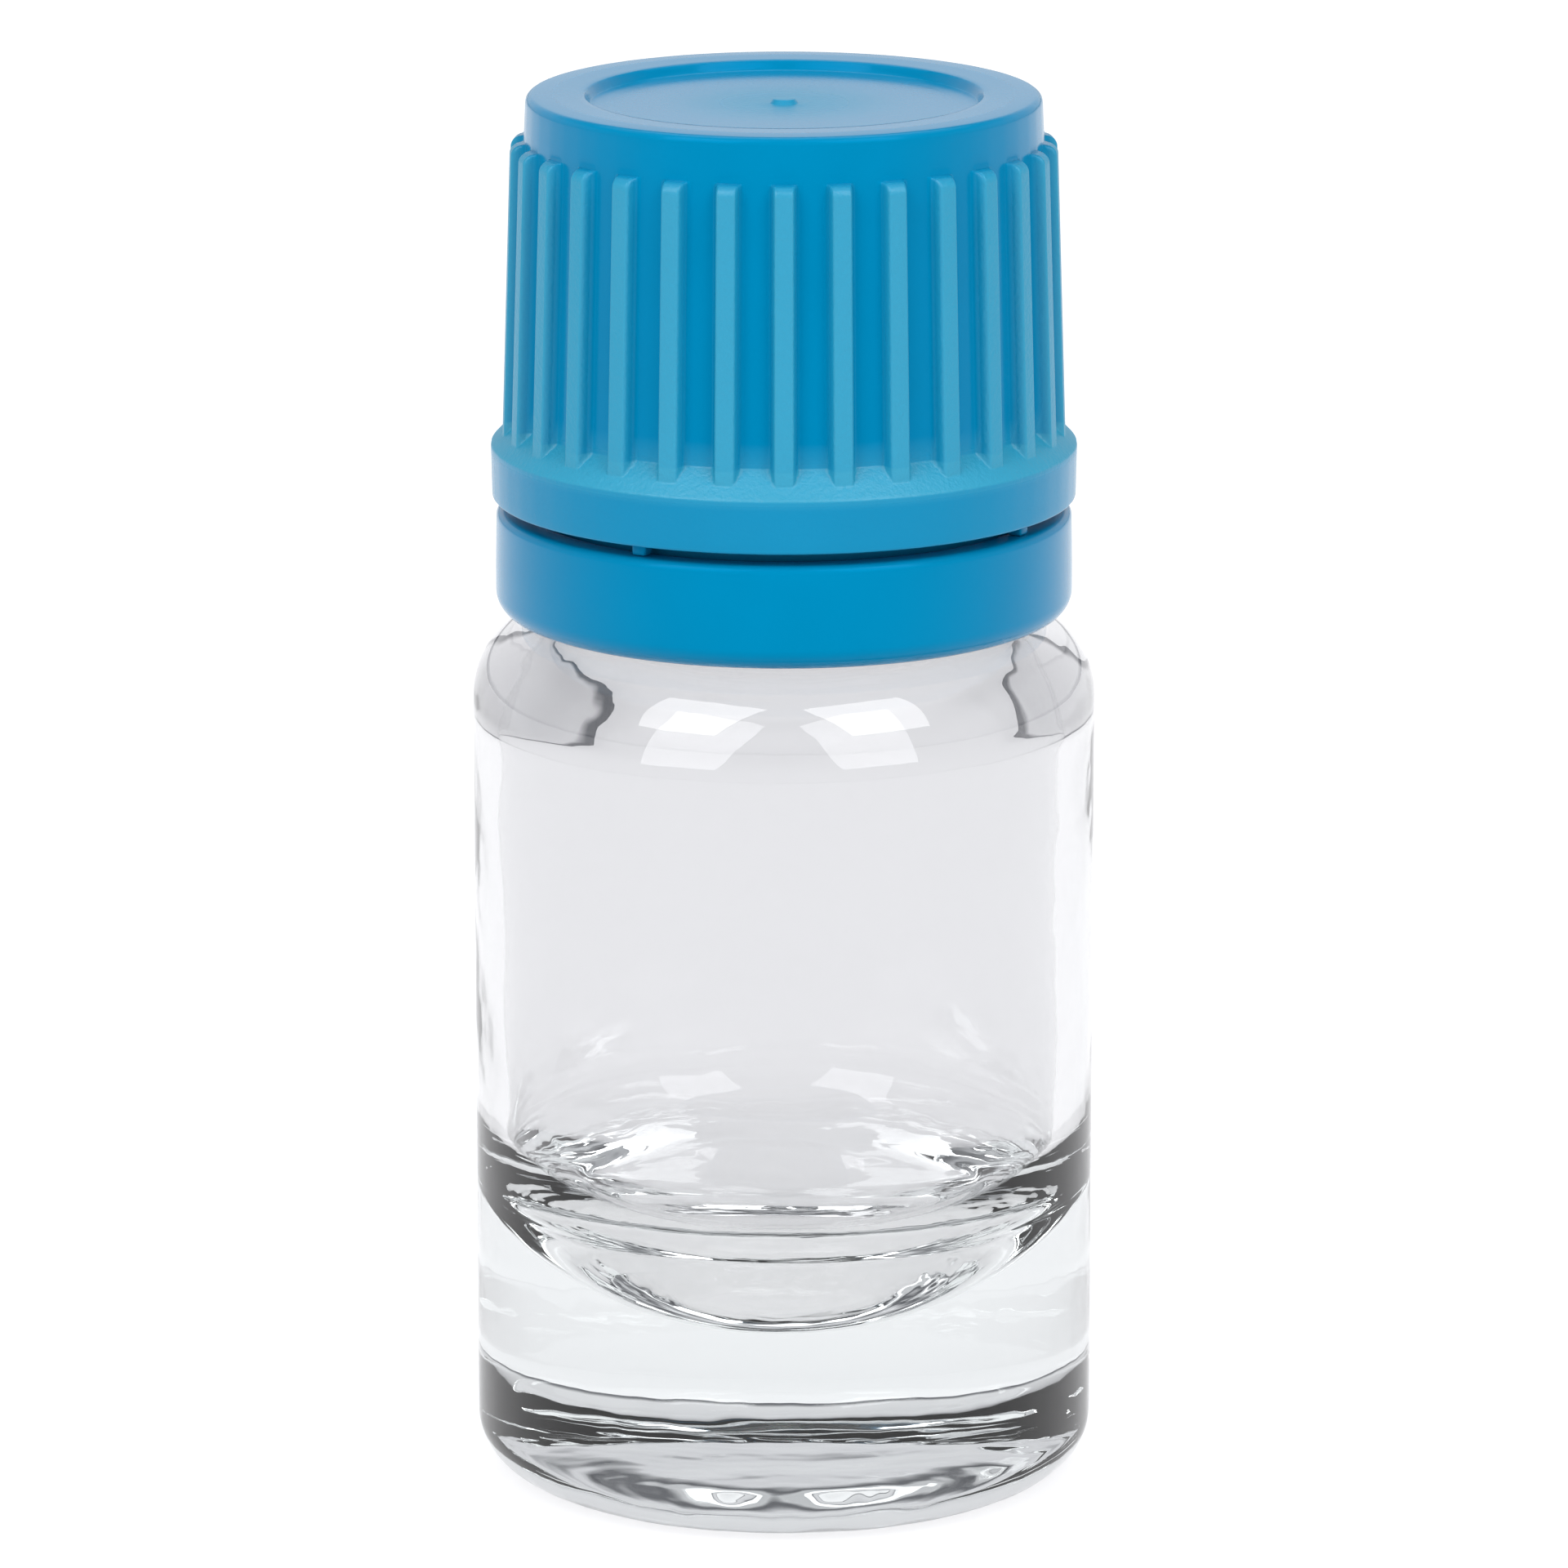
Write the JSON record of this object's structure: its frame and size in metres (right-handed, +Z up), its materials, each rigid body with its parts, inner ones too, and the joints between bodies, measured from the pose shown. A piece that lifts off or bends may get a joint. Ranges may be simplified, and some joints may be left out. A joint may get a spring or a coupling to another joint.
{
  "type": "prescription vial",
  "caption": "Small clear glass medicine vial with a thick base, a drip insert in its neck and a ribbed tamper-evident screw cap.",
  "frame": {"origin": "centre of the base, on the plane that the vial stands on", "axes": "+Z up along the neck; -Y is the front, faced by one grip rib of the cap"},
  "size_m": [0.022, 0.022, 0.0497],
  "materials": {
    "clear_glass": "clear moulded glass",
    "blue_polypropylene": "satin moulded blue polypropylene",
    "natural_polyethylene": "milky natural low-density polyethylene",
    "white_foam": "white foamed polyethylene disc"
  },
  "bodies": {
    "bottle": {"glass_bottle": "clear_glass", "dropper_insert": "natural_polyethylene"},
    "liner": {"cap_liner": "white_foam"},
    "cap": {"screw_cap": "blue_polypropylene"},
    "ring": {"tamper_ring": "blue_polypropylene", "tamper_bridges": "blue_polypropylene"}
  },
  "joints": [
    {"name": "cap_lift", "type": "slide", "parent": "bottle", "child": "liner", "axis": [0, 0, 1], "range_m": [0, 0.0151]},
    {"name": "cap_turn", "type": "hinge", "parent": "liner", "child": "cap", "pos_m": [0, 0, 0.04], "axis": [0, 0, 1], "range_deg": [0, 1800]},
    {"name": "ring_spin", "type": "hinge", "parent": "bottle", "child": "ring", "pos_m": [0, 0, 0.033], "axis": [0, 0, 1], "continuous": true}
  ],
  "couplings": [
    {"joint": "cap_lift", "follows": "cap_turn", "m_per_rad": 0.00047746}
  ]
}
